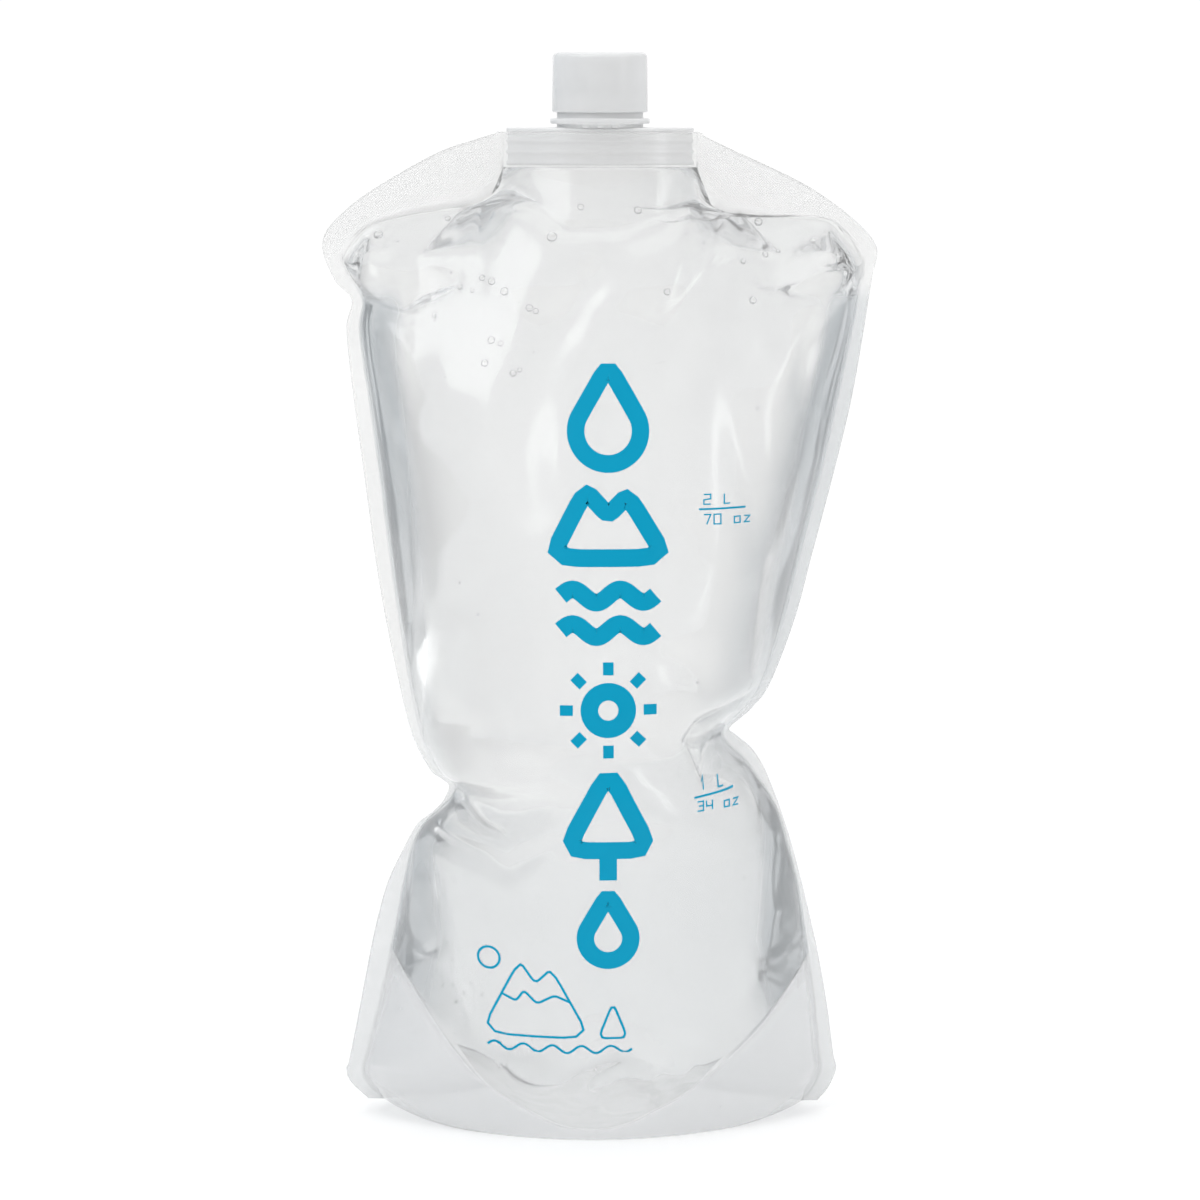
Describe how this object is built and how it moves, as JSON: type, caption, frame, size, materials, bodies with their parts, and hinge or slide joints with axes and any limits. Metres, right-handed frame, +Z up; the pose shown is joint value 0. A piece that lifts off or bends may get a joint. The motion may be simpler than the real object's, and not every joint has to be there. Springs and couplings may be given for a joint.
{
  "type": "hydration bladder",
  "caption": "Stand-up soft drinking pouch of clear welded film with a folded bottom gusset, a threaded spout and a screw cap, shown full and standing.",
  "frame": {"origin": "on the ground under the middle of the pouch's bounding box, in line with the neck", "axes": "+Z up along the neck, -Y out of the printed front panel, +X to the right seen from the front"},
  "size_m": [0.1748, 0.1168, 0.3381],
  "materials": {
    "clear_film": "clear glossy film",
    "moulded_spout": "translucent natural moulding, satin",
    "moulded_cap": "translucent natural moulding, satin",
    "foam_disc": "white foamed liner, matt"
  },
  "bodies": {
    "pouch": {"front_panel": "clear_film", "back_panel": "clear_film", "bottom_gusset": "clear_film", "spout": "moulded_spout"},
    "liner": {"sealing_disc": "foam_disc"},
    "cap": {"screw_cap": "moulded_cap"}
  },
  "joints": [
    {"name": "cap_rise", "type": "slide", "parent": "pouch", "child": "liner", "axis": [0, 0, 1], "range_m": [0, 0.00716]},
    {"name": "cap_turn", "type": "hinge", "parent": "liner", "child": "cap", "pos_m": [0, 0, 0.33], "axis": [0, 0, 1], "range_deg": [0, 810]}
  ],
  "couplings": [
    {"joint": "cap_rise", "follows": "cap_turn", "m_per_rad": 0.00050611}
  ]
}
